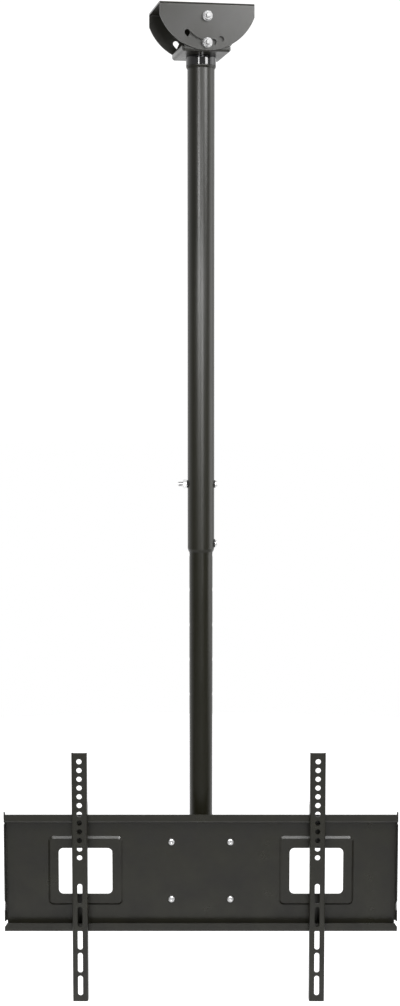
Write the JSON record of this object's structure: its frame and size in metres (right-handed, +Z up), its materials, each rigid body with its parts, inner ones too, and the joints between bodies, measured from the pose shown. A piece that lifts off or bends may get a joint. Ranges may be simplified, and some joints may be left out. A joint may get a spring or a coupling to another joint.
{
  "type": "television ceiling mount",
  "caption": "Ceiling mount for a flat television: a tilting bracket and swivel hold a telescopic pole with a tilting rail plate, on which hooked arms slide.",
  "frame": {"origin": "on the pole's axis, in the face of the ceiling bracket that meets the ceiling", "axes": "+Z up out of the ceiling face, -Y towards the television and its viewer, +X to the viewer's right"},
  "size_m": [0.666, 0.143, 1.6555],
  "materials": {
    "black_coat": "fine satin black powder coat",
    "zinc": "bright zinc plate",
    "gloss_black": "glossy black",
    "black_rubber": "matte black",
    "nylon": "natural nylon"
  },
  "bodies": {
    "ceiling": {"ceiling_bracket": "black_coat"},
    "saddle": {"saddle": "black_coat", "pivot_bolts": "zinc", "lock_bolts": "zinc", "bracket_washers": "zinc", "bracket_nuts": "zinc", "swivel_bolt": "zinc", "swivel_washers": "zinc", "swivel_nut": "zinc", "swivel_collar": "gloss_black", "thrust_washer": "nylon"},
    "upper_pole": {"tube_end_plug": "black_coat", "trim_ring": "black_coat", "upper_tube": "black_coat", "height_bolt": "zinc", "height_nut": "zinc", "height_washers": "black_rubber", "clamp_screw": "zinc", "clamp_washer": "black_rubber"},
    "lower_pole": {"lower_tube": "black_coat", "pole_foot": "black_coat", "tilt_pivot_bolts": "zinc", "tilt_lock_bolts": "zinc", "tilt_washers": "zinc", "tilt_nuts": "zinc"},
    "screen_plate": {"tilt_head": "black_coat", "rail_plate": "black_coat", "plate_screws": "zinc", "plate_washers": "zinc", "plate_nuts": "zinc"},
    "arm_left": {"left_arm": "black_coat"},
    "arm_right": {"right_arm": "black_coat"}
  },
  "joints": [
    {"name": "ceiling_tilt", "type": "hinge", "parent": "ceiling", "child": "saddle", "pos_m": [0, 0, -0.0216], "axis": [-0.1788, 0.9839, 0], "range_deg": [-14, 51]},
    {"name": "pole_swivel", "type": "hinge", "parent": "saddle", "child": "upper_pole", "pos_m": [0, 0, -0.078], "axis": [0, 0, 1], "continuous": true},
    {"name": "height_slide", "type": "slide", "parent": "upper_pole", "child": "lower_pole", "axis": [0, 0, 1], "range_m": [0, 0.36]},
    {"name": "screen_tilt", "type": "hinge", "parent": "lower_pole", "child": "screen_plate", "pos_m": [0, 0, -1.422], "axis": [1, 0, 0], "range_deg": [-5, 15]},
    {"name": "left_arm_slide", "type": "slide", "parent": "screen_plate", "child": "arm_left", "axis": [1, 0, 0], "range_m": [-0.096, 0.104]},
    {"name": "right_arm_slide", "type": "slide", "parent": "screen_plate", "child": "arm_right", "axis": [1, 0, 0], "range_m": [-0.096, 0.104]}
  ]
}
